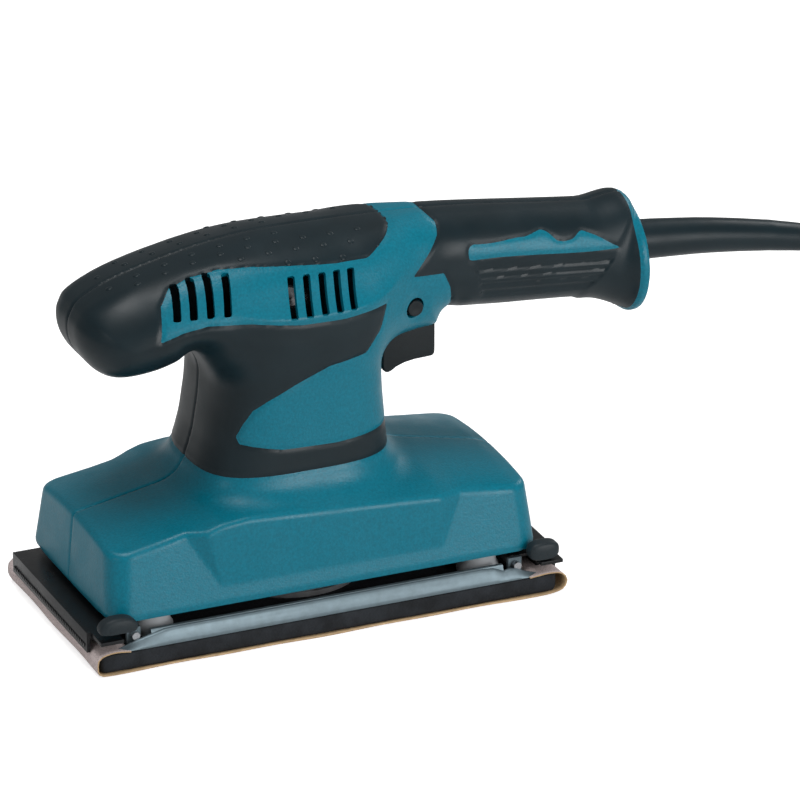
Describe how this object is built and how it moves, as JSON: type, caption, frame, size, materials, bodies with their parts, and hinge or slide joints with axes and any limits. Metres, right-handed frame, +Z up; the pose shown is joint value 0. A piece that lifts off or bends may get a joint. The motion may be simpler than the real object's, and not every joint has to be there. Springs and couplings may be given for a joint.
{
  "type": "finishing sander",
  "caption": "Electric orbital finishing sander: rectangular sanding pad with paper clamps under a two-hand body with trigger, lock button and mains lead.",
  "frame": {"origin": "on the motor axis at the abrasive face of the sandpaper", "axes": "+X from the nose to the mains lead, +Y to the operator's right side seen from behind the trigger, +Z up, away from the work"},
  "size_m": [0.4733, 0.1021, 0.1475],
  "materials": {
    "teal_plastic": "fine moulded grain",
    "black_rubber": "soft matt overmould",
    "screw_steel": "zinc plated",
    "sandpaper": "abrasive grit on kraft paper",
    "pad_foam": "closed cell sponge",
    "zinc_plate": "bright zinc plate",
    "black_steel": "black dip coat",
    "grey_cap": "moulded cap",
    "pin_steel": "ground",
    "spring_steel": "drawn wire",
    "bearing_steel": "ground",
    "cast_aluminium": "as cast",
    "baffle_plastic": "glass filled nylon",
    "counterweight_zinc": "die cast",
    "elastic_rubber": "translucent elastomer",
    "boot_rubber": "moulded",
    "lamination": "stacked sheet",
    "copper_wire": "enamelled copper",
    "carbon": "graphite",
    "black_plastic": "moulded",
    "capacitor_film": "moulded case",
    "guard_rubber": "moulded",
    "cord_rubber": "extruded",
    "plug_brass": "nickel plated"
  },
  "bodies": {
    "housing": {"housing_left": "teal_plastic", "housing_right": "teal_plastic", "front_grip_left": "black_rubber", "front_grip_right": "black_rubber", "rear_grip_left": "black_rubber", "rear_grip_right": "black_rubber", "housing_screws": "screw_steel", "plate_screws": "screw_steel", "bearing_retainer": "cast_aluminium", "baffle_plate": "baffle_plastic", "main_bearing_outer": "bearing_steel", "top_bearing_outer": "bearing_steel", "top_bearing_boot": "boot_rubber", "stator_core": "lamination", "stator_coils": "copper_wire", "brush_holders": "baffle_plastic", "brush_spring_left": "spring_steel", "brush_spring_right": "spring_steel", "switch_body": "baffle_plastic", "capacitor": "capacitor_film", "trigger_spring": "spring_steel", "lock_spring": "spring_steel", "supply_wires": "cord_rubber", "inner_lead": "cord_rubber", "cord_clip": "baffle_plastic", "cord_clip_screws": "screw_steel", "cord_guard": "guard_rubber", "cord_tube": "cord_rubber", "cord_coil": "cord_rubber", "plug_body": "cord_rubber", "plug_pins": "plug_brass"},
    "rotor": {"armature_shaft": "pin_steel", "armature_core": "lamination", "armature_windings": "copper_wire", "commutator": "copper_wire", "fan": "baffle_plastic", "counterweight": "counterweight_zinc", "shaft_spacer": "pin_steel", "main_bearing_inner": "bearing_steel", "top_bearing_inner": "bearing_steel", "pad_bearing_inner": "bearing_steel"},
    "base": {"base_plate": "zinc_plate", "pad_cushion": "pad_foam", "sandpaper": "sandpaper", "bearing_box": "cast_aluminium", "bearing_box_screws": "screw_steel", "pad_bearing_outer": "bearing_steel", "elastic_feet": "elastic_rubber", "foot_screws": "screw_steel", "clamp_pins": "pin_steel", "front_clamp_spring": "spring_steel", "rear_clamp_spring": "spring_steel"},
    "front_clamp_jaw": {"front_clamp": "black_steel", "front_lever_cap": "grey_cap"},
    "rear_clamp_jaw": {"rear_clamp": "black_steel", "rear_lever_cap": "grey_cap"},
    "trigger_blade": {"trigger": "black_plastic"},
    "lock_pin": {"lock_button": "black_plastic"},
    "brush_left": {"carbon_brush_left": "carbon"},
    "brush_right": {"carbon_brush_right": "carbon"}
  },
  "joints": [
    {"name": "rotor_spin", "type": "hinge", "parent": "housing", "child": "rotor", "pos_m": [0, 0, 0.046], "axis": [0, 0, 1], "continuous": true},
    {"name": "base_orbit", "type": "hinge", "parent": "rotor", "child": "base", "pos_m": [0.001, 0, 0.0155], "axis": [0, 0, 1], "continuous": true, "deforming": ["elastic_feet"]},
    {"name": "front_clamp_lift", "type": "hinge", "parent": "base", "child": "front_clamp_jaw", "pos_m": [-0.077, 0, 0.0128], "axis": [0, 1, 0], "range_deg": [0, 12], "stiffness_Nm_per_rad": 0.6, "springref_deg": -8.59, "deforming": ["front_clamp_spring"]},
    {"name": "rear_clamp_lift", "type": "hinge", "parent": "base", "child": "rear_clamp_jaw", "pos_m": [0.077, 0, 0.0128], "axis": [0, -1, 0], "range_deg": [0, 12], "stiffness_Nm_per_rad": 0.6, "springref_deg": -8.59, "deforming": ["rear_clamp_spring"]},
    {"name": "trigger_press", "type": "slide", "parent": "housing", "child": "trigger_blade", "axis": [0, 0, 1], "range_m": [0, 0.005], "stiffness_N_per_m": 400, "springref_m": -0.004, "deforming": ["trigger_spring"]},
    {"name": "lock_press", "type": "slide", "parent": "housing", "child": "lock_pin", "axis": [0, 1, 0], "range_m": [0, 0.003], "stiffness_N_per_m": 300, "springref_m": -0.003, "deforming": ["lock_spring"]},
    {"name": "brush_left_feed", "type": "slide", "parent": "housing", "child": "brush_left", "axis": [0, -1, 0], "range_m": [0, 0.003], "stiffness_N_per_m": 200, "springref_m": -0.004, "deforming": ["brush_spring_left"]},
    {"name": "brush_right_feed", "type": "slide", "parent": "housing", "child": "brush_right", "axis": [0, 1, 0], "range_m": [0, 0.003], "stiffness_N_per_m": 200, "springref_m": -0.004, "deforming": ["brush_spring_right"]}
  ],
  "couplings": [
    {"joint": "base_orbit", "follows": "rotor_spin", "ratio": -1}
  ]
}
